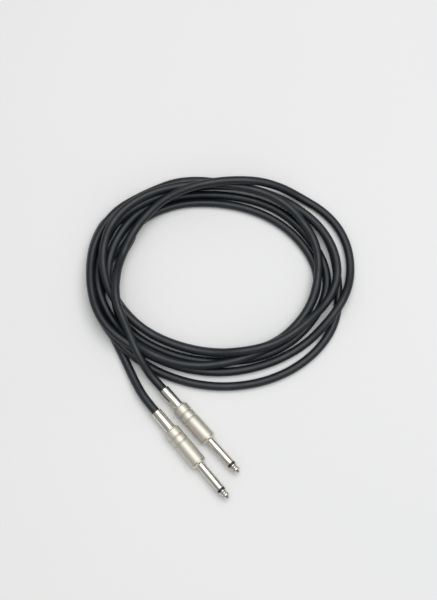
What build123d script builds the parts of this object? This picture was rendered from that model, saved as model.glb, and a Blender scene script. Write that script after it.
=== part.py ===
"""Instrument cable: a coiled round cable with a straight 6.35 mm two-pole plug on each end.

Millimetres, +Z up, the resting surface at Z = 0. Plug A points along +X, and the origin is under the
middle of the pair of plugs. Along a plug, distances run from the rear end of its tail tube to its tip.
"""
import os
from math import cos, radians, sin, tan

from build123d import *

# The cable
CABLE_R = 3.15

# Where the two plugs lie: rear end of the tail tube, and the way the tip points
PLUG_PLACES = {
    "a": ((-45.0, 8.4), 0.0),
    "b": ((-36.4, -6.6), -2.1),
}

# Stations along a plug
TAIL_END = 0.0
SHELL_REAR = 16.6
TAIL_FRONT = 19.0
CLAMP_REAR, CLAMP_FRONT = 20.5, 26.0
ROD_REAR = 39.7
JACKET_END = 27.0
LINER_REAR, LINER_FRONT = 19.3, 36.5
THREAD_BORE_REAR = 38.0
LUG_REAR = 40.3
LUG_FRONT = 40.9
COLLAR_REAR = 41.5
WASHER_FRONT = 42.5
COUNTERBORE_END = 44.0
UNDERCUT_REAR = 47.3
SHELL_FRONT = 48.05
FLANGE_REAR, FLANGE_RIM = 48.1, 48.6
SHAFT_REAR = 49.9
SLEEVE_FRONT = 72.5
RING_FRONT = 74.3
TIP_END = 81.2
CABLE_END_REAR = -5.5       # the cable is straight this far behind the tail, for the shell's travel

# Radii of a plug
BARREL_R = 5.9
GROOVE_R = 5.1
FLANGE_R = 5.85
FLANGE_FOOT_R = 4.3
UNDERCUT_R = 4.4
SHAFT_R, SHAFT_END_R = 3.175, 3.0
RING_R = 3.0                # so much under the shaft's radius that its wall is not taken for the shaft's
TAIL_R, TAIL_BORE = 4.05, 3.5
SHELL_BORE = 4.4
COLLAR_R, THREAD_BORE = 4.8, 4.83
LINER_R, LINER_BORE = 4.36, 4.0
BUSHING_R, BUSHING_BORE = 2.15, 1.27
COUNTERBORE_R = 2.9
ROD_R = 1.25
TIP_LUG_R, GROUND_LUG_R = 2.4, 4.5
SLIP = 0.02                 # radial play of pieces that are pushed together
SHAFT_CHAMFER, SHELL_CHAMFER = 0.2, 0.35
MOUTH_FILLET = 0.25
CREST_FILLET = 0.75

# The tip contact, as stations and radii: its riveted head, and its tip in front of the black ring
RIVET_OUTLINE = [(ROD_REAR, 1.3), (39.95, 1.65), (LUG_REAR, 1.65)]
TIP_OUTLINE = [(RING_FRONT, 2.8), (74.5, 2.95), (74.9, 2.95), (76.5, 2.3), (77.0, 2.3), (77.7, 2.9),
               (78.8, 2.9), (80.7, 1.15), (TIP_END, 0.7)]
BALL_FILLET, NOSE_FILLET = 0.7, 0.3

# Outside of the shell's rear, as stations and radii: a lip and a neck; then the grip grooves' rear edges
LIP_OUTLINE = [(SHELL_REAR, 4.85), (17.1, 4.85), (17.2, 4.65), (17.5, 4.65), (17.6, BARREL_R)]
GRIP_GROOVES = (23.4, 28.8)
GROOVE_SLOPE, GROOVE_FLOOR = 0.25, 0.5
GRIP_END = 30.0

# Terminals inside a plug: heights are above the plug's axis
ARM_BOTTOM, ARM_TOP, ARM_WIDTH = 3.2, 3.6, 2.4
TAB_BOTTOM, TAB_TOP, TAB_WIDTH = -2.35, -1.75, 2.4
TAB_REAR = 34.2
LUG_OVERLAP = 0.3           # how far an arm or tab runs into its ring
CLAMP_SLOT_TOP, CLAMP_SLOT_WIDTH = -2.0, 1.2
CORE_R, INSULATION_R, PIGTAIL_R = 0.3, 1.0, 0.55
CORE_BEND_REAR, CORE_BEND_FRONT, CORE_BEND_R = 29.2, 32.2, 2.5
INSULATION_END, BARE_LENGTH = 33.9, 3.7
PIGTAIL_LOW, PIGTAIL_HIGH = 1.9, ARM_BOTTOM - PIGTAIL_R - 0.03
PIGTAIL_BEND_REAR, PIGTAIL_BEND_FRONT, PIGTAIL_BEND_R = 28.4, 30.6, 2.0
PIGTAIL_END = 34.4
TIP_SOLDER_AT, TIP_SOLDER_R = 36.4, 0.95
GROUND_SOLDER_AT, GROUND_SOLDER_R = 32.8, 0.9

# The coil: an oval ring, its long axis turned from +X, its opening a little off its centre
COIL_CENTRE = (-79.7, 94.6)
COIL_TURN = 48.0
COIL_OUTER = (100.5, 83.7)
COIL_INNER = (71.9, 54.4)
COIL_OPENING_SHIFT = (-2.2, 2.4)
COIL_HEIGHT = 22.0
COIL_TOP_FILLET, COIL_BOTTOM_FILLET = 7.0, 2.5

# Free stretches of the cable, from the end of the straight stretch behind each plug into the coil: each
# corner's distance on behind it, to its side and above its axis
LEAD_CORNERS = {
    "a": [(10.0, 0, 0), (21.0, 1.6, 3.2), (32.5, 4.8, 6.0), (43.5, 8.6, 7.0)],
    "b": [(10.0, 0, 0), (21.0, 1.6, -1.8), (33.0, 4.4, -2.68), (44.0, 7.6, -2.73)],
}
CORNER_SHARE = 0.45         # share of the shorter run that a corner's arc takes

os.makedirs("parts", exist_ok=True)


def keep(piece, name):
    """Label a finished piece and write its STEP file."""
    piece.part.label = name
    export_step(piece.part, f"parts/{name}.step")


def long_section(place):
    """Plane through a plug's axis: local X runs to the tip, local Y is up."""
    (x, y), heading = place
    along = (cos(radians(heading)), sin(radians(heading)), 0)
    return Plane(origin=(x, y, BARREL_R), x_dir=along, z_dir=(along[1], -along[0], 0))


def cross_section(section, along, height=0.0):
    """Plane square to a plug's axis, at a station along it."""
    return Plane(origin=section.from_local_coords((along, height, 0)), z_dir=section.x_dir)


def plug_axis(section):
    return Axis(section.origin, section.x_dir)


def make_tip_contact(section, name):
    """The waisted tip and the rod through the bushing, riveted over the tip lug."""
    with BuildPart() as tip_contact:
        with BuildSketch(section) as profile:
            with BuildLine():
                Polyline((ROD_REAR, 0), *RIVET_OUTLINE, (LUG_REAR, ROD_R), (RING_FRONT, ROD_R), *TIP_OUTLINE,
                         (TIP_END, 0), close=True)
            make_face()
            ball = profile.vertices().filter_by_position(Axis.X, 77.5, 79.0)
            fillet(ball, radius=BALL_FILLET)
            outer_half = profile.vertices().filter_by_position(Axis.Y, 0.5, BARREL_R)
            fillet(outer_half.filter_by_position(Axis.X, 80.5, TIP_END), radius=NOSE_FILLET)
        revolve(axis=plug_axis(section))
    keep(tip_contact, name)


def make_tip_insulator(section, name):
    """The black ring in front of the sleeve, one piece with the bushing inside it."""
    with BuildPart() as tip_insulator:
        with BuildSketch(section):
            with BuildLine():
                Polyline((WASHER_FRONT, BUSHING_BORE), (RING_FRONT, BUSHING_BORE), (RING_FRONT, RING_R),
                         (SLEEVE_FRONT, RING_R), (SLEEVE_FRONT, BUSHING_R - SLIP),
                         (COUNTERBORE_END, BUSHING_R - SLIP), (COUNTERBORE_END, COUNTERBORE_R - SLIP),
                         (WASHER_FRONT, COUNTERBORE_R - SLIP), close=True)
            make_face()
        revolve(axis=plug_axis(section))
    keep(tip_insulator, name)


def make_sleeve_contact(section, name):
    """Shaft, chamfered flange and threaded collar, turned in one piece."""
    with BuildPart() as sleeve_contact:
        with BuildSketch(section):
            with BuildLine():
                Polyline((SLEEVE_FRONT, BUSHING_R), (SLEEVE_FRONT, SHAFT_END_R),
                         (SLEEVE_FRONT - SHAFT_CHAMFER, SHAFT_R), (SHAFT_REAR, SHAFT_R),
                         (SHAFT_REAR, FLANGE_FOOT_R), (FLANGE_RIM, FLANGE_R), (FLANGE_REAR, FLANGE_R),
                         (FLANGE_REAR, UNDERCUT_R), (UNDERCUT_REAR, UNDERCUT_R),
                         (UNDERCUT_REAR, COLLAR_R), (COLLAR_REAR, COLLAR_R), (COLLAR_REAR, COUNTERBORE_R),
                         (COUNTERBORE_END, COUNTERBORE_R), (COUNTERBORE_END, BUSHING_R), close=True)
            make_face()
        revolve(axis=plug_axis(section))
    keep(sleeve_contact, name)


def make_rear_insulator(section, name):
    """Washer that keeps the tip lug off the collar."""
    with BuildPart() as rear_insulator:
        with BuildSketch(cross_section(section, LUG_FRONT)):
            Circle(COUNTERBORE_R - SLIP)
            Circle(BUSHING_BORE, mode=Mode.SUBTRACT)
        extrude(amount=WASHER_FRONT - LUG_FRONT)
    keep(rear_insulator, name)


def make_tip_lug(section, name):
    """Disc under the rod's riveted head, with a tab to the rear for the core."""
    with BuildPart() as tip_lug:
        with BuildSketch(cross_section(section, LUG_REAR)):
            Circle(TIP_LUG_R)
            Circle(BUSHING_BORE, mode=Mode.SUBTRACT)
        extrude(amount=LUG_FRONT - LUG_REAR)
        with BuildSketch(section):
            with BuildLine():
                Polyline((TAB_REAR, TAB_BOTTOM), (LUG_REAR + LUG_OVERLAP, TAB_BOTTOM),
                         (LUG_REAR + LUG_OVERLAP, TAB_TOP), (TAB_REAR, TAB_TOP), close=True)
            make_face()
        extrude(amount=TAB_WIDTH / 2, both=True)
    keep(tip_lug, name)


def make_ground_lug(section, name):
    """Ring on the collar's rear face, an arm to the rear, and a split clamp round the jacket."""
    with BuildPart() as ground_lug:
        with BuildSketch(cross_section(section, LUG_FRONT)):
            Circle(GROUND_LUG_R)
            Circle(COUNTERBORE_R, mode=Mode.SUBTRACT)
        extrude(amount=COLLAR_REAR - LUG_FRONT)
        with BuildSketch(section):
            with BuildLine():
                Polyline((CLAMP_REAR, ARM_BOTTOM), (LUG_FRONT + LUG_OVERLAP, ARM_BOTTOM),
                         (LUG_FRONT + LUG_OVERLAP, ARM_TOP), (CLAMP_REAR, ARM_TOP), close=True)
            make_face()
        extrude(amount=ARM_WIDTH / 2, both=True)
        with BuildSketch(cross_section(section, CLAMP_REAR)):
            Circle(ARM_TOP)
            Circle(CABLE_R + SLIP, mode=Mode.SUBTRACT)
        extrude(amount=CLAMP_FRONT - CLAMP_REAR)
        with BuildSketch(section):
            with BuildLine():
                Polyline((CLAMP_REAR, -ARM_TOP), (CLAMP_FRONT, -ARM_TOP), (CLAMP_FRONT, CLAMP_SLOT_TOP),
                         (CLAMP_REAR, CLAMP_SLOT_TOP), close=True)
            make_face()
        extrude(amount=CLAMP_SLOT_WIDTH / 2, both=True, mode=Mode.SUBTRACT)
    keep(ground_lug, name)


def shell_outline():
    """The shell's outside, from its rear end to its front end."""
    outline = list(LIP_OUTLINE)
    for rear in GRIP_GROOVES:
        floor_rear = rear + GROOVE_SLOPE
        floor_front = floor_rear + GROOVE_FLOOR
        outline += [(rear, BARREL_R), (floor_rear, GROOVE_R), (floor_front, GROOVE_R),
                    (floor_front + GROOVE_SLOPE, BARREL_R)]
    return outline + [(SHELL_FRONT - SHELL_CHAMFER, BARREL_R), (SHELL_FRONT, BARREL_R - SHELL_CHAMFER)]


def make_shell(section, name):
    """Barrel with two grip beads between grooves, bored for the tail, the liner and the thread."""
    with BuildPart() as shell:
        with BuildSketch(section) as profile:
            with BuildLine():
                Polyline((SHELL_REAR, TAIL_R + SLIP), *shell_outline(), (SHELL_FRONT, THREAD_BORE),
                         (THREAD_BORE_REAR, THREAD_BORE), (THREAD_BORE_REAR, SHELL_BORE),
                         (TAIL_FRONT, SHELL_BORE), (TAIL_FRONT, TAIL_R + SLIP), close=True)
            make_face()
            crests = profile.vertices().filter_by_position(Axis.Y, BARREL_R - 0.01, BARREL_R + 0.01)
            fillet(crests.filter_by_position(Axis.X, SHELL_REAR, GRIP_END), radius=CREST_FILLET)
        revolve(axis=plug_axis(section))
    keep(shell, name)


def make_tail_tube(section, name):
    """Polished tube pushed into the rear of the shell, with a rounded mouth for the cable."""
    with BuildPart() as tail_tube:
        with BuildSketch(section) as profile:
            with BuildLine():
                Polyline((TAIL_END, TAIL_BORE), (TAIL_END, TAIL_R), (TAIL_FRONT, TAIL_R),
                         (TAIL_FRONT, TAIL_BORE), close=True)
            make_face()
            fillet(profile.vertices().group_by(Axis.X)[0], radius=MOUTH_FILLET)
        revolve(axis=plug_axis(section))
    keep(tail_tube, name)


def make_liner(section, name):
    """Insulating tube between the terminals and the shell."""
    with BuildPart() as liner:
        with BuildSketch(cross_section(section, LINER_REAR)):
            Circle(LINER_R)
            Circle(LINER_BORE, mode=Mode.SUBTRACT)
        extrude(amount=LINER_FRONT - LINER_REAR)
    keep(liner, name)


def make_core_insulation(section, name):
    """The insulated core, from the jacket's end down towards the tip lug."""
    with BuildPart() as core_insulation:
        with BuildLine(section) as path:
            FilletPolyline((JACKET_END, 0), (CORE_BEND_REAR, 0), (CORE_BEND_FRONT, TAB_TOP + CORE_R),
                           (INSULATION_END, TAB_TOP + CORE_R), radius=CORE_BEND_R)
        with BuildSketch(cross_section(section, JACKET_END)):
            Circle(INSULATION_R)
        sweep(path=path.line)
    keep(core_insulation, name)


def make_core_wire(section, name):
    """The bare end of the core, lying on the tip lug."""
    with BuildPart() as core_wire:
        with BuildSketch(cross_section(section, INSULATION_END, TAB_TOP + CORE_R)):
            Circle(CORE_R)
        extrude(amount=BARE_LENGTH)
    keep(core_wire, name)


def make_shield_pigtail(section, name):
    """The cable's screen, twisted and led under the ground lug's arm."""
    with BuildPart() as shield_pigtail:
        with BuildLine(section) as path:
            FilletPolyline((JACKET_END, PIGTAIL_LOW), (PIGTAIL_BEND_REAR, PIGTAIL_LOW),
                           (PIGTAIL_BEND_FRONT, PIGTAIL_HIGH), (PIGTAIL_END, PIGTAIL_HIGH),
                           radius=PIGTAIL_BEND_R)
        with BuildSketch(cross_section(section, JACKET_END, PIGTAIL_LOW)):
            Circle(PIGTAIL_R)
        sweep(path=path.line)
    keep(shield_pigtail, name)


def make_solder(section, name, along, height, radius, side):
    """Half a ball of solder on the flat of a lug."""
    seat = Plane(origin=section.from_local_coords((along, height, 0)), z_dir=(0, 0, 1))
    with BuildPart(seat) as solder:
        Sphere(radius)
        split(bisect_by=seat, keep=side)
    keep(solder, name)


def make_cable_end(section, name):
    """The straight stretch of cable in the plug's rear and just behind it."""
    with BuildPart() as cable_end:
        with BuildSketch(cross_section(section, CABLE_END_REAR)):
            Circle(CABLE_R)
        extrude(amount=JACKET_END - CABLE_END_REAR)
    keep(cable_end, name)


def lead_route(section, corners):
    """Points of a lead in space: behind the plug, to the right looking back along it, and up."""
    start = Plane(origin=cross_section(section, CABLE_END_REAR).origin, x_dir=-section.x_dir, z_dir=(0, 0, 1))
    return [start.from_local_coords(point) for point in [(0, 0, 0)] + [(x, -y, z) for x, y, z in corners]]


def corner_radii(points):
    """The largest arc that each corner's two runs allow."""
    runs = [after - before for before, after in zip(points, points[1:])]
    return [
        CORNER_SHARE * min(run.length, onward.length) / tan(radians(run.get_angle(onward)) / 2)
        for run, onward in zip(runs, runs[1:])
    ]


def make_cable_lead(section, corners, name):
    """A tube along straight runs joined by tangent arcs."""
    route = lead_route(section, corners)
    radii = corner_radii(route)
    with BuildPart() as cable_lead:
        with BuildLine() as path:
            FilletPolyline(*route, radius=radii)
        with BuildSketch(cross_section(section, CABLE_END_REAR)) as tube_section:
            Circle(CABLE_R)
        sweep(path=path.line)
    keep(cable_lead, name)
    length = path.wire().length
    print(name, "length", round(length, 1), "radii", [round(radius) for radius in radii],
          "volume share", round(cable_lead.part.volume / (tube_section.sketch.area * length), 4),
          "points", [[round(value, 1) for value in point] for point in route])


def make_cable_coil(name):
    """The outer shape of the coil: an oval ring with rounded edges."""
    turn = radians(COIL_TURN)
    floor = Plane(origin=(*COIL_CENTRE, 0), x_dir=(cos(turn), sin(turn), 0), z_dir=(0, 0, 1))
    with BuildPart() as cable_coil:
        with BuildSketch(floor):
            Ellipse(*COIL_OUTER)
            with Locations(COIL_OPENING_SHIFT):
                Ellipse(*COIL_INNER, mode=Mode.SUBTRACT)
        extrude(amount=COIL_HEIGHT)
        fillet(cable_coil.edges().group_by(Axis.Z)[-1], radius=COIL_TOP_FILLET)
        fillet(cable_coil.edges().group_by(Axis.Z)[0], radius=COIL_BOTTOM_FILLET)
    keep(cable_coil, name)


for side, place in PLUG_PLACES.items():
    section = long_section(place)
    plug = f"plug_{side}"
    make_tip_contact(section, f"{plug}_tip_contact")
    make_tip_insulator(section, f"{plug}_tip_insulator")
    make_sleeve_contact(section, f"{plug}_sleeve_contact")
    make_rear_insulator(section, f"{plug}_rear_insulator")
    make_tip_lug(section, f"{plug}_tip_lug")
    make_ground_lug(section, f"{plug}_ground_lug")
    make_shell(section, f"{plug}_shell")
    make_tail_tube(section, f"{plug}_tail_tube")
    make_liner(section, f"{plug}_liner")
    make_core_insulation(section, f"{plug}_core_insulation")
    make_core_wire(section, f"{plug}_core_wire")
    make_shield_pigtail(section, f"{plug}_shield_pigtail")
    make_solder(section, f"{plug}_tip_solder", TIP_SOLDER_AT, TAB_TOP, TIP_SOLDER_R, Keep.TOP)
    make_solder(section, f"{plug}_ground_solder", GROUND_SOLDER_AT, ARM_BOTTOM, GROUND_SOLDER_R, Keep.BOTTOM)
    make_cable_end(section, f"cable_end_{side}")
    make_cable_lead(section, LEAD_CORNERS[side], f"cable_lead_{side}")

make_cable_coil("cable_coil")
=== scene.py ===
"""Looks of the instrument cable: a loosely coiled black cable with a straight 6.35 mm plug on each end.

Metres, in the row frame. Along a plug, distances run in millimetres from the rear end of its tail tube.
"""
import math

import bmesh
import bpy
import numpy as np
from mathutils import Matrix, Vector


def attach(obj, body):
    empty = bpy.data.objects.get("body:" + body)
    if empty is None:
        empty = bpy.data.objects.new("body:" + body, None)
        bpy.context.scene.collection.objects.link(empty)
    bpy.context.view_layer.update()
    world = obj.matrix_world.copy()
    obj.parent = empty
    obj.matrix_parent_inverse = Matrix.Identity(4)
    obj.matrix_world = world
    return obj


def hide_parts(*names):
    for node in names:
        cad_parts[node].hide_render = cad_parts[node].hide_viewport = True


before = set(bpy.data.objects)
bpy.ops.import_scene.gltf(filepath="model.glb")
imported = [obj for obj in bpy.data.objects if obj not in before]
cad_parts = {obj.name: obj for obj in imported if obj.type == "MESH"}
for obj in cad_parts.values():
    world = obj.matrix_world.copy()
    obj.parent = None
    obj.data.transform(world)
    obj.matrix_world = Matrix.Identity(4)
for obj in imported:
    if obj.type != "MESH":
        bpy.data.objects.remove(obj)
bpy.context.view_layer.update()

MM = 0.001

# ---------------------------------------------------------------- camera

VIEW_TARGET = Vector((-0.0698, 0.0844, 0.0))
VIEW_AZIMUTH = math.radians(47.95)
VIEW_ELEVATION = math.radians(75.0)
VIEW_DISTANCE = 1.0
VIEW_LENS = 80.4


def make_camera():
    level = math.cos(VIEW_ELEVATION)
    back = Vector((math.sin(VIEW_AZIMUTH) * level, -math.cos(VIEW_AZIMUTH) * level, math.sin(VIEW_ELEVATION)))
    camera = bpy.data.objects.new("camera", bpy.data.cameras.new("camera"))
    bpy.context.scene.collection.objects.link(camera)
    camera.data.lens = VIEW_LENS
    camera.data.clip_start, camera.data.clip_end = 0.01, 20.0
    camera.location = VIEW_TARGET + VIEW_DISTANCE * back
    camera.rotation_mode = "QUATERNION"
    camera.rotation_quaternion = (-back).to_track_quat("-Z", "Y")
    bpy.context.scene.camera = camera


make_camera()

# ---------------------------------------------------------------- the cord

DIAMETER = 0.0063
PLUG_AXIS = 0.0059          # height of a plug lying on its barrel
PLUGS = {                   # rear end of the tail tube, and the way the tip points in degrees
    "a": ((-0.0450, 0.0084), 0.0),
    "b": ((-0.0364, -0.0066), -2.1),
}
IN_PLUG = (26.9, 18.0, 9.0, 0.0)

# The two leads, from the plug into the coil
LEAD_A = [(-0.0505, 0.0084, 0.0059), (-0.0605, 0.0084, 0.0076), (-0.0715, 0.0100, 0.0124),
          (-0.0830, 0.0132, 0.0152), (-0.0940, 0.0170, 0.0162)]
LEAD_B = [(-0.0419, -0.0064, 0.0059), (-0.0519, -0.0058, 0.0056), (-0.0628, -0.0033, 0.0041),
          (-0.0747, 0.0002, 0.0032), (-0.0856, 0.0036, 0.0032)]

# The coil's mean oval. A strand's place is its bearing round the oval, in degrees from the long axis,
# and how far outside the oval it lies, in millimetres.
OVAL_MIDDLE = np.array([-0.0807, 0.0941])
OVAL_AXES = (85.5, 68.3)
OVAL_TURN = math.radians(48.0)
STATION = 30                # degrees between the stations of the two tables below
POINTS_A_STATION = 3        # so a turn has 36 points

# Millimetres outside the oval, at every station: worked out by scratch scripts from strands traced in the
# photograph, refined by a least-squares fit and rounded to 0.1 mm, with many changed by hand afterwards.
# From lead A the cable goes round clockwise, each row from 210 degrees down to 240.
CLOCKWISE = [
    (-4.2, -10.4, -9.3, -1.2, 3.4, 12.4, 17.8, 12.8, 4.5, 2.2, 2.2, 2.6),
    (9.0, 9.6, 14.0, 13.0, 6.6, 4.4, 5.2, 3.0, -6.0, -8.0, -11.0, -11.8),
    (-8.5, -1.3, 7.2, 6.8, 3.4, 2.1, -4.0, -11.6, -12.0, -8.4, -2.9, 2.8),
    (2.0, 4.8, 6.8, 4.0, 6.6, 6.6, 6.2, 3.6, 10.8, 13.7, 12.9, 10.4),
    (9.0, 10.2, 16.2),
]
# There it turns back under the pile, and goes round the other way, each row from 150 degrees up to 120
ANTICLOCKWISE = [
    (-8.4, -9.0, -3.3, -5.0, -5.7, -4.6, -5.2, -4.1, -5.6, -2.6, -1.2, 2.6),
    (-1.0, -3.8, -9.8, -13.2, -12.8, -10.6, -12.6, -11.3, -12.6, -10.8, -7.9, -3.4),
    (-4.8, 1.0, 7.3),
]
# Which strand lies on which, at the same stations: the higher number is on top
CLOCKWISE_PILE = [
    (9.0,) * 10 + (6.4, 6.5),
    (6.9,) + (6.5,) * 5 + (7.2,) + (8.0,) * 5,
    (7.0,) * 12,
    (6.8,) + (6.0,) * 11,
    (5.0, 5.0, 2.0),
]
ANTICLOCKWISE_PILE = [
    (1.5,) * 9 + (2.4, 3.2, 3.5),
    (3.3, 3.2, 3.0, 3.0, 3.0, 3.0, 3.0, 3.0, 3.0, 2.9, 2.8, 2.7),
    (2.5, 2.5, 2.0),
]
TURN_BACK_PILE = 1.0
LEAD_A_PILE = 10.0
LEAD_B_PILE = 1.5

SAMPLES = 4                 # samples between two points of the route, where heights are worked out
SETTLED = 0.92              # how near strands lie, in diameters, where one presses on another
BEND_UP = 0.05              # radius of the humps where a strand passes over others
RANK_GAP = 0.4              # a strand lies on another when its pile number is higher by more than this
SAME_STRAND = 3             # nearer than so many diameters along the cable, points can't lie on each other
SETTLING_PASSES = 30
HUMP_REACH = 14             # a hump lifts fewer than this many samples on each side

LEAD_A_BEARING = 210        # where lead A joins the coil
TURN_BACK_BEARING = 150
TURN_BACK_SWELL = 1.04      # the bend is this much wider than a half circle, and again this much longer
TURN_BACK_ANGLES = (30, 60, 90, 120, 150)


def on_oval(bearing, outside):
    """Points at bearings in degrees, so many millimetres outside the mean oval."""
    angle = np.radians(bearing)
    along = (OVAL_AXES[0] + outside) * np.cos(angle) * MM
    across = (OVAL_AXES[1] + outside) * np.sin(angle) * MM
    cos_turn, sin_turn = math.cos(OVAL_TURN), math.sin(OVAL_TURN)
    east = along * cos_turn - across * sin_turn
    north = along * sin_turn + across * cos_turn
    return OVAL_MIDDLE + np.stack([east, north], 1)


def between(values, at):
    """Smooth values between stations, through every station."""
    p = np.asarray(values, float)
    i = np.clip(np.floor(at).astype(int), 0, len(p) - 2)
    f = at - i
    a, b, c, d = p[np.maximum(i - 1, 0)], p[i], p[i + 1], p[np.minimum(i + 2, len(p) - 1)]
    return b + 0.5 * f * (c - a + f * (2 * a - 5 * b + 4 * c - d + f * (3 * b - 3 * c + d - a)))


def turns(rows, pile_rows, first, way):
    """Points of the turns in a table, with their place in the pile, from a bearing on in one direction."""
    outside = [value for row in rows for value in row]
    pile = [value for row in pile_rows for value in row]
    at = np.arange((len(outside) - 1) * POINTS_A_STATION + 1) / POINTS_A_STATION
    points = on_oval(first + way * STATION * at, between(outside, at))
    return points, np.interp(at, np.arange(len(pile)), pile)


def turn_back(bearing, outer, inner):
    """The bend in which the cable turns back at a bearing, from one distance outside the oval to another."""
    middle = (outer + inner) / 2
    centre, ahead = on_oval(np.array([bearing, bearing - 1.0]), np.array([middle, middle]))
    onward = (ahead - centre) / np.linalg.norm(ahead - centre)
    outward = np.array([-onward[1], onward[0]])
    radius = TURN_BACK_SWELL * (outer - inner) / 2 * MM
    angles = np.radians(TURN_BACK_ANGLES)[:, None]
    return centre + radius * (np.cos(angles) * outward + TURN_BACK_SWELL * np.sin(angles) * onward)


def in_plug(name, station, side=0.0, up=0.0):
    """A point of a plug, from its station, to its left and above its axis, in millimetres."""
    (x, y), heading = PLUGS[name]
    cos_way, sin_way = math.cos(math.radians(heading)), math.sin(math.radians(heading))
    return [x + (station * cos_way - side * sin_way) * MM, y + (station * sin_way + side * cos_way) * MM,
            PLUG_AXIS + up * MM]


def spline_samples(values):
    """A quadratic B-spline's values, with SAMPLES round each control point."""
    p = np.concatenate([[2 * values[0] - values[1]], values, [2 * values[-1] - values[-2]]])
    i = np.repeat(np.arange(len(values)), SAMPLES)
    t = np.tile((np.arange(SAMPLES) + 0.5) / SAMPLES, len(values))
    if values.ndim == 2:
        t = t[:, None]
    return 0.5 * (1 - t) ** 2 * p[i] + (0.5 + t * (1 - t)) * p[i + 1] + 0.5 * t * t * p[i + 2]


def settle(plan, pile, held):
    """Heights at which each strand lies on the floor or on the strands under it, with no sharp humps.

    held has the height of a point that is already known, and 0 elsewhere."""
    place = spline_samples(plan)
    order = np.interp((np.arange(len(place)) + 0.5) / SAMPLES - 0.5, np.arange(len(plan)), pile)
    known = np.repeat(held, SAMPLES)
    along = np.concatenate([[0], np.cumsum(np.linalg.norm(np.diff(place, axis=0), axis=1))])
    apart = np.linalg.norm(place[:, None] - place[None], axis=2)
    reach = SETTLED * DIAMETER
    upper, lower = np.nonzero((apart < reach) & (np.abs(along[:, None] - along) > SAME_STRAND * DIAMETER)
                              & (order[:, None] > order + RANK_GAP))
    lift = np.sqrt(reach ** 2 - apart[upper, lower] ** 2)
    height = np.full(len(place), DIAMETER / 2)
    for _ in range(SETTLING_PASSES):
        rest = np.full(len(place), DIAMETER / 2)
        np.maximum.at(rest, upper, height[lower] + lift)
        rest = np.where(known > 0, known, rest)
        height = rest.copy()
        for k in range(1, HUMP_REACH):
            drop = (along[k:] - along[:-k]) ** 2 / (2 * BEND_UP)
            height[k:] = np.maximum(height[k:], rest[:-k] - drop)
            height[:-k] = np.maximum(height[:-k], rest[k:] - drop)
        height = np.where(known > 0, known, height)
    return height.reshape(-1, SAMPLES).mean(1)


def cord_route():
    """Every point of the cable's spline, from inside plug A to inside plug B."""
    start = np.array([in_plug("a", station) for station in IN_PLUG] + LEAD_A)
    end = np.array(LEAD_B[::-1] + [in_plug("b", station) for station in IN_PLUG[::-1]])
    out, out_pile = turns(CLOCKWISE, CLOCKWISE_PILE, LEAD_A_BEARING, -1)
    back, back_pile = turns(ANTICLOCKWISE, ANTICLOCKWISE_PILE, TURN_BACK_BEARING, 1)
    bend = turn_back(TURN_BACK_BEARING, CLOCKWISE[-1][-1], ANTICLOCKWISE[0][0])
    plan = np.concatenate([start[:, :2], out, bend, back, end[:, :2]])
    pile = np.concatenate([np.full(len(start), LEAD_A_PILE), out_pile, np.full(len(bend), TURN_BACK_PILE),
                           back_pile, np.full(len(end), LEAD_B_PILE)])
    held = np.zeros(len(plan))
    held[:len(start)], held[-len(end):] = start[:, 2], end[:, 2]
    height = settle(plan, pile, held)
    # a B-spline flattens its points' humps a little, so they are drawn out by as much
    height += height - spline_samples(height).reshape(-1, SAMPLES).mean(1)
    return np.column_stack([plan, np.maximum(height, DIAMETER / 2)])


def make_cord(material):
    curve = bpy.data.curves.new("cable", "CURVE")
    curve.dimensions = "3D"
    curve.bevel_depth = DIAMETER / 2
    curve.bevel_resolution = 8
    curve.resolution_u = 6
    curve.use_fill_caps = True
    route = cord_route()
    spline = curve.splines.new("NURBS")
    spline.points.add(len(route) - 1)
    for point, place in zip(spline.points, route):
        point.co = (*place, 1.0)
    spline.order_u = 3
    spline.use_endpoint_u = True
    curve.materials.append(material)
    cord = bpy.data.objects.new("cable", curve)
    bpy.context.scene.collection.objects.link(cord)
    return cord


# ---------------------------------------------------------------- materials


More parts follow.
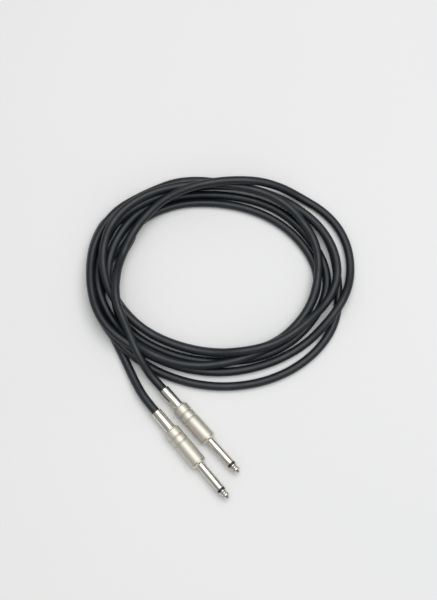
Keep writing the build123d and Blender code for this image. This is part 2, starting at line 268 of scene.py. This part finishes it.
class Paint:
    """A procedural material on one Principled shader, with its own texture coordinates in metres."""

    def __init__(self, name, base, roughness, metallic=0.0):
        self.material = bpy.data.materials.new(name)
        self.material.use_nodes = True
        self.tree = self.material.node_tree
        self.shader = self.tree.nodes["Principled BSDF"]
        self.shader.inputs["Base Color"].default_value = (*base, 1.0)
        self.shader.inputs["Roughness"].default_value = roughness
        self.shader.inputs["Metallic"].default_value = metallic
        self.coordinates = self.tree.nodes.new("ShaderNodeTexCoord").outputs["Object"]
        self.normal = None

    def link(self, output, target):
        self.tree.links.new(output, target)

    def noise(self, scale, detail=3.0, stretch=(1, 1, 1), rough=0.55):
        """Noise of so many features a metre, drawn out along the axes where stretch is small."""
        mapping = self.tree.nodes.new("ShaderNodeMapping")
        mapping.inputs["Scale"].default_value = stretch
        self.link(self.coordinates, mapping.inputs["Vector"])
        noise = self.tree.nodes.new("ShaderNodeTexNoise")
        noise.inputs["Scale"].default_value = scale
        noise.inputs["Detail"].default_value = detail
        noise.inputs["Roughness"].default_value = rough
        self.link(mapping.outputs["Vector"], noise.inputs["Vector"])
        return noise.outputs["Fac"]

    def ramp(self, factor, stops):
        """Colours between stops, each a position and a colour."""
        ramp = self.tree.nodes.new("ShaderNodeValToRGB")
        while len(ramp.color_ramp.elements) < len(stops):
            ramp.color_ramp.elements.new(0.5)
        for element, (position, colour) in zip(ramp.color_ramp.elements, stops):
            element.position = position
            element.color = (*colour, 1.0)
        self.link(factor, ramp.inputs["Fac"])
        return ramp.outputs["Color"]

    def span(self, factor, low, high, start=0.3, end=0.7):
        """A number that goes from low to high as the factor goes from start to end."""
        span = self.tree.nodes.new("ShaderNodeMapRange")
        for socket, value in (("From Min", start), ("From Max", end), ("To Min", low), ("To Max", high)):
            span.inputs[socket].default_value = value
        self.link(factor, span.inputs["Value"])
        return span.outputs["Result"]

    def colour(self, output):
        self.link(output, self.shader.inputs["Base Color"])

    def roughness(self, output):
        self.link(output, self.shader.inputs["Roughness"])

    def bump(self, height, distance, strength=1.0):
        """Adds relief of so many metres on top of the relief so far."""
        bump = self.tree.nodes.new("ShaderNodeBump")
        bump.inputs["Distance"].default_value = distance
        bump.inputs["Strength"].default_value = strength
        self.link(height, bump.inputs["Height"])
        if self.normal is not None:
            self.link(self.normal, bump.inputs["Normal"])
        self.normal = bump.outputs["Normal"]
        self.link(self.normal, self.shader.inputs["Normal"])


def cable_jacket():
    """Matte extruded PVC: charcoal, dusted and scuffed in soft patches, with a fine grain."""
    paint = Paint("cable_jacket", (0.008, 0.0095, 0.012), 0.5)
    paint.colour(paint.ramp(paint.noise(55, 4.0),
                            [(0.3, (0.0040, 0.0066, 0.0100)), (0.55, (0.0065, 0.0100, 0.0145)),
                             (0.75, (0.010, 0.0145, 0.020))]))
    paint.roughness(paint.span(paint.noise(160, 5.0), 0.38, 0.50))
    paint.bump(paint.noise(4200, 3.0), 0.00003, 0.35)
    paint.bump(paint.noise(380, 2.0), 0.00012, 0.25)
    return paint.material


def satin_nickel():
    """Satin plate on a turned barrel: a warm grey with the finest rings round it."""
    paint = Paint("satin_nickel", (0.69, 0.665, 0.60), 0.56, metallic=1.0)
    rings = paint.noise(9000, 2.0, stretch=(1, 0.02, 0.02))
    paint.colour(paint.ramp(paint.noise(120, 4.0), [(0.3, (0.66, 0.635, 0.57)), (0.7, (0.72, 0.695, 0.63))]))
    paint.roughness(paint.span(rings, 0.50, 0.62))
    paint.bump(rings, 0.000004, 0.5)
    paint.bump(paint.noise(700, 3.0), 0.00001, 0.3)
    return paint.material


def polished_nickel():
    """Bright plate with faint turning rings, a patchy shine and lengthwise hairlines."""
    paint = Paint("polished_nickel", (0.66, 0.635, 0.575), 0.18, metallic=1.0)
    paint.colour(paint.ramp(paint.noise(150, 4.0),
                            [(0.35, (0.62, 0.595, 0.535)), (0.7, (0.70, 0.675, 0.615))]))
    paint.roughness(paint.span(paint.noise(260, 5.0), 0.13, 0.26))
    paint.bump(paint.noise(7000, 1.0, stretch=(1, 0.02, 0.02)), 0.0000015, 0.5)
    paint.bump(paint.noise(2600, 2.0, stretch=(0.04, 1, 1)), 0.0000015, 0.4)
    return paint.material


def black_insulator():
    paint = Paint("black_insulator", (0.012, 0.012, 0.013), 0.34)
    paint.colour(paint.ramp(paint.noise(900, 3.0),
                            [(0.35, (0.010, 0.010, 0.011)), (0.7, (0.017, 0.017, 0.018))]))
    paint.roughness(paint.span(paint.noise(1800, 2.0), 0.27, 0.42))
    paint.bump(paint.noise(5000, 1.0), 0.000006, 0.4)
    return paint.material


def hard_paper():
    """Phenolic paper: brown, with fibres that run one way."""
    paint = Paint("hard_paper", (0.33, 0.18, 0.09), 0.55)
    paint.colour(paint.ramp(paint.noise(2500, 5.0, stretch=(1, 0.25, 1)),
                            [(0.3, (0.22, 0.11, 0.05)), (0.55, (0.33, 0.18, 0.09)),
                             (0.8, (0.44, 0.27, 0.15))]))
    paint.roughness(paint.span(paint.noise(3000, 2.0), 0.45, 0.65))
    paint.bump(paint.noise(6000, 2.0), 0.00001, 0.5)
    return paint.material


def tinned_brass():
    """Tin plate on punched sheet: dull, a little cloudy, yellow where the plate is thin."""
    paint = Paint("tinned_brass", (0.66, 0.64, 0.58), 0.36, metallic=1.0)
    paint.colour(paint.ramp(paint.noise(500, 5.0), [(0.25, (0.60, 0.55, 0.42)), (0.5, (0.66, 0.64, 0.58)),
                                                    (0.8, (0.70, 0.69, 0.65))]))
    paint.roughness(paint.span(paint.noise(1400, 4.0), 0.28, 0.48))
    paint.bump(paint.noise(3500, 2.0, stretch=(0.2, 1, 1)), 0.000005, 0.5)
    return paint.material


def core_insulation():
    paint = Paint("core_insulation", (0.80, 0.79, 0.74), 0.42)
    paint.colour(paint.ramp(paint.noise(600, 3.0), [(0.3, (0.76, 0.75, 0.69)), (0.7, (0.83, 0.82, 0.78))]))
    paint.roughness(paint.span(paint.noise(1500, 2.0), 0.36, 0.50))
    paint.bump(paint.noise(2500, 2.0, stretch=(0.1, 1, 1)), 0.00001, 0.4)
    return paint.material


def copper():
    """Twisted strands: bands that run round at a slant."""
    paint = Paint("copper", (0.72, 0.38, 0.23), 0.3, metallic=1.0)
    wave = paint.tree.nodes.new("ShaderNodeTexWave")
    wave.bands_direction = "DIAGONAL"
    wave.inputs["Scale"].default_value = 900.0
    paint.link(paint.coordinates, wave.inputs["Vector"])
    paint.colour(paint.ramp(paint.noise(900, 4.0), [(0.3, (0.58, 0.27, 0.15)), (0.7, (0.78, 0.43, 0.27))]))
    paint.roughness(paint.span(paint.noise(1500, 3.0), 0.22, 0.4))
    paint.bump(wave.outputs["Fac"], 0.00006, 0.8)
    return paint.material


def solder():
    paint = Paint("solder", (0.62, 0.63, 0.64), 0.24, metallic=1.0)
    paint.colour(paint.ramp(paint.noise(1100, 4.0), [(0.3, (0.54, 0.55, 0.56)), (0.7, (0.68, 0.69, 0.70))]))
    paint.roughness(paint.span(paint.noise(1300, 4.0), 0.14, 0.38))
    paint.bump(paint.noise(900, 2.0), 0.00008, 0.5)
    return paint.material


def liner():
    """Thin cream tube with faint draw lines."""
    paint = Paint("liner", (0.78, 0.77, 0.71), 0.4)
    paint.colour(paint.ramp(paint.noise(350, 4.0), [(0.3, (0.73, 0.71, 0.64)), (0.7, (0.81, 0.80, 0.75))]))
    paint.roughness(paint.span(paint.noise(900, 3.0), 0.32, 0.5))
    paint.bump(paint.noise(2200, 2.0, stretch=(0.05, 1, 1)), 0.00001, 0.5)
    return paint.material


def floor_paper():
    """Plain pale backdrop paper with hardly any tooth."""
    paint = Paint("floor_paper", (0.82, 0.82, 0.82), 0.85)
    paint.colour(paint.ramp(paint.noise(3, 2.0),
                            [(0.3, (0.800, 0.812, 0.812)), (0.7, (0.815, 0.824, 0.820))]))
    paint.bump(paint.noise(900, 3.0), 0.00002, 0.2)
    return paint.material


MATERIALS = {make.__name__: make() for make in (
    cable_jacket, satin_nickel, polished_nickel, black_insulator, hard_paper, tinned_brass, core_insulation,
    copper, solder, liner)}

# ---------------------------------------------------------------- plug pieces

AROUND = 128                # faces round a turned piece

# Radii and stations of the plug, in millimetres, as in the CAD
BARREL_R, GROOVE_R, SHAFT_R, RING_R = 5.9, 5.1, 3.175, 3.0
TAIL_R, TAIL_BORE = 4.05, 3.5
THREAD_PITCH, THREAD_DEPTH = 1.0, 0.45
THREAD_REAR, THREAD_FRONT, THREAD_RUN_OUT = 41.6, 47.25, 0.5
FLANK, CREST = 1.3, 0.15    # how steep the thread's flanks are, and how flat its crests
SHARP_EDGE = math.radians(34)


def rounded(corners, arc_pieces=6):
    """An outline in which each corner (station, radius, rounding) is an arc where its rounding isn't 0."""
    outline = []
    for i, (x, r, size) in enumerate(corners):
        here = Vector((x, r))
        to_last = Vector(corners[i - 1][:2]) - here
        to_next = Vector(corners[(i + 1) % len(corners)][:2]) - here
        if not size:
            outline.append(tuple(here))
            continue
        half = to_last.angle(to_next) / 2
        back = min(size / math.tan(half), 0.48 * to_last.length, 0.48 * to_next.length)
        start, end = here + to_last.normalized() * back, here + to_next.normalized() * back
        radius = back * math.tan(half)
        centre = here + (to_last.normalized() + to_next.normalized()).normalized() * radius / math.sin(half)
        for k in range(arc_pieces + 1):
            arm = (start - centre).lerp(end - centre, k / arc_pieces)
            outline.append(tuple(centre + arm.normalized() * radius))
    return outline


def lathe(name, plug, outline, material, body, node, thread=None):
    """A turned piece: an outline round the plug's axis, closed on itself or at the axis."""
    mesh = bmesh.new()
    rings = []
    for x, r in outline:
        if r < 1e-6:
            rings.append([mesh.verts.new((x * MM, 0, 0))])
            continue
        ring = []
        for k in range(AROUND):
            angle = 2 * math.pi * k / AROUND
            deep = thread(x, angle) if thread else 0.0
            reach = (r - deep) * MM
            ring.append(mesh.verts.new((x * MM, reach * math.cos(angle), reach * math.sin(angle))))
        rings.append(ring)
    for one, two in zip(rings, rings[1:] + rings[:1]):
        if len(one) == len(two) == 1:
            continue
        for k in range(AROUND):
            n = (k + 1) % AROUND
            corners = [one[k % len(one)], two[k % len(two)], two[n % len(two)], one[n % len(one)]]
            mesh.faces.new(list(dict.fromkeys(corners)))
    bmesh.ops.recalc_face_normals(mesh, faces=mesh.faces)
    data = bpy.data.meshes.new(name)
    mesh.to_mesh(data)
    mesh.free()
    data.polygons.foreach_set("use_smooth", [True] * len(data.polygons))
    data.set_sharp_from_angle(angle=SHARP_EDGE)
    data.materials.append(material)
    piece = bpy.data.objects.new(name, data)
    bpy.context.scene.collection.objects.link(piece)
    piece.matrix_world = Matrix.Translation(in_plug(plug, 0)) @ Matrix.Rotation(
        math.radians(PLUGS[plug][1]), 4, "Z")
    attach(piece, body)
    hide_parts(node)


def steps(first, last, r, step=0.1):
    """Corners of a straight stretch, close enough together to carry a thread."""
    count = max(1, round(abs(last - first) / step))
    return [(first + (last - first) * k / count, r, 0) for k in range(count + 1)]


def thread_groove(x, angle):
    """How deep the thread is cut at a station of the collar, with a run-out at both ends."""
    if not THREAD_REAR < x < THREAD_FRONT:
        return 0.0
    turn = (x / THREAD_PITCH - angle / (2 * math.pi)) % 1.0
    run_out = min(1.0, (x - THREAD_REAR) / THREAD_RUN_OUT, (THREAD_FRONT - x) / THREAD_RUN_OUT)
    return THREAD_DEPTH * run_out * min(1.0, max(0.0, abs(2 * turn - 1) * FLANK - CREST))


def make_barrel(plug):
    corners = [
        (16.6, 4.08, 0.05), (16.6, 4.85, 0.12), (17.1, 4.85, 0.08), (17.2, 4.65, 0.05), (17.5, 4.65, 0.08),
        (17.6, BARREL_R, 0.75), (23.4, BARREL_R, 0.75), (23.65, GROOVE_R, 0.12), (24.15, GROOVE_R, 0.12),
        (24.4, BARREL_R, 0.75), (28.8, BARREL_R, 0.75), (29.05, GROOVE_R, 0.12), (29.55, GROOVE_R, 0.12),
        (29.8, BARREL_R, 0.75), (47.7, BARREL_R, 0.12), (48.05, 5.55, 0.08), (48.05, 4.83, 0.05),
        (38.0, 4.83, 0), (38.0, 4.4, 0), (19.0, 4.4, 0), (19.0, 4.08, 0)]
    lathe(f"plug_{plug}_barrel", plug, rounded(corners), MATERIALS["satin_nickel"], f"plug_{plug}_shell",
          f"plug_{plug}_shell")


def make_tail(plug):
    corners = [(0.0, TAIL_BORE, 0.25), (0.0, TAIL_R, 0.25), (19.0, TAIL_R, 0.05), (19.0, TAIL_BORE, 0.05)]
    lathe(f"plug_{plug}_tail", plug, rounded(corners), MATERIALS["polished_nickel"], f"plug_{plug}_shell",
          f"plug_{plug}_tail_tube")


def make_sleeve(plug):
    corners = [
        (72.5, 2.15, 0), (72.5, 3.0, 0.06), (72.3, SHAFT_R, 0.06), (49.9, SHAFT_R, 0.1), (49.9, 4.3, 0.1),
        (48.6, 5.85, 0.12), (48.1, 5.85, 0.1), (48.1, 4.4, 0.05), (47.3, 4.4, 0.05)]
    corners += steps(47.3, 41.5, 4.8) + [(41.5, 2.9, 0), (44.0, 2.9, 0), (44.0, 2.15, 0)]
    lathe(f"plug_{plug}_sleeve", plug, rounded(corners), MATERIALS["polished_nickel"], "cable",
          f"plug_{plug}_sleeve_contact", thread=thread_groove)


def make_ring(plug):
    corners = [
        (42.5, 1.27, 0), (74.3, 1.27, 0), (74.3, RING_R, 0.08), (72.5, RING_R, 0.08), (72.5, 2.13, 0),
        (44.0, 2.13, 0), (44.0, 2.88, 0), (42.5, 2.88, 0.05)]
    lathe(f"plug_{plug}_ring", plug, rounded(corners), MATERIALS["black_insulator"], "cable",
          f"plug_{plug}_tip_insulator")


def make_tip(plug):
    corners = [
        (39.7, 0, 0), (39.7, 1.3, 0.2), (39.95, 1.65, 0.1), (40.3, 1.65, 0.05), (40.3, 1.25, 0),
        (74.3, 1.25, 0), (74.3, 2.8, 0.05), (74.5, 2.95, 0.1), (74.9, 2.95, 0.4), (76.5, 2.3, 0.6),
        (77.0, 2.3, 0.6), (77.7, 2.9, 0.7), (78.8, 2.9, 0.7), (80.7, 1.15, 0.4),
        (81.2, 0.7, 0.3), (81.2, 0, 0)]
    lathe(f"plug_{plug}_tip", plug, rounded(corners), MATERIALS["polished_nickel"], "cable",
          f"plug_{plug}_tip_contact")


# ---------------------------------------------------------------- putting it together

for plug in PLUGS:
    for make in (make_barrel, make_tail, make_sleeve, make_ring, make_tip):
        make(plug)

CORD_NODES = ["cable_coil", "cable_lead_a", "cable_lead_b", "cable_end_a", "cable_end_b"]
for name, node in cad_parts.items():
    if name in CORD_NODES:
        continue
    for material_slot in node.material_slots:
        slot_name = material_slot.material.name.split(".")[0]
        if slot_name in MATERIALS:
            material_slot.material = MATERIALS[slot_name]

cord = make_cord(MATERIALS["cable_jacket"])
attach(cord, "cable")
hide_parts(*CORD_NODES)

# ---------------------------------------------------------------- floor and light

FLOOR_HALF = 4.0            # half the floor's width
SOFTBOX_PLACE = (0.05, 0.35, 1.6)
SOFTBOX_SIZE = 1.6
SOFTBOX_POWER = 21.0
SOFTBOX_COLOUR = (1.0, 0.995, 0.985)
ROOM_STRENGTH = 0.47
HORIZON_COLOUR = (0.32, 0.32, 0.33, 1)
ROOM_COLOUR = (1.0, 1.0, 1.0, 1)
ROOM_COLOUR_FROM = 0.65     # how high up the room has its full colour

def make_floor():
    mesh = bmesh.new()
    bmesh.ops.create_grid(mesh, x_segments=8, y_segments=8, size=FLOOR_HALF)
    data = bpy.data.meshes.new("floor")
    mesh.to_mesh(data)
    mesh.free()
    data.materials.append(floor_paper())
    floor = bpy.data.objects.new("floor", data)
    bpy.context.scene.collection.objects.link(floor)


def make_light(name, place, size, power, colour):
    """A square soft light that points at the middle of the object."""
    light = bpy.data.objects.new(name, bpy.data.lights.new(name, "AREA"))
    bpy.context.scene.collection.objects.link(light)
    light.data.size = size
    light.data.energy = power
    light.data.color = colour
    light.location = place
    light.rotation_mode = "QUATERNION"
    light.rotation_quaternion = (VIEW_TARGET - Vector(place)).to_track_quat("-Z", "Y")


def make_world():
    """A white room that is darker near the horizon."""
    world = bpy.data.worlds.new("room")
    bpy.context.scene.world = world
    world.use_nodes = True
    tree = world.node_tree
    background = tree.nodes["Background"]
    background.inputs["Strength"].default_value = ROOM_STRENGTH
    place = tree.nodes.new("ShaderNodeTexCoord")
    split = tree.nodes.new("ShaderNodeSeparateXYZ")
    ramp = tree.nodes.new("ShaderNodeValToRGB")
    horizon, above = ramp.color_ramp.elements
    horizon.position, horizon.color = 0.0, HORIZON_COLOUR
    above.position, above.color = ROOM_COLOUR_FROM, ROOM_COLOUR
    tree.links.new(place.outputs["Generated"], split.inputs["Vector"])
    tree.links.new(split.outputs["Z"], ramp.inputs["Fac"])
    tree.links.new(ramp.outputs["Color"], background.inputs["Color"])


make_floor()
make_light("softbox", SOFTBOX_PLACE, SOFTBOX_SIZE, SOFTBOX_POWER, SOFTBOX_COLOUR)
make_world()
bpy.context.scene.view_settings.view_transform = "Standard"
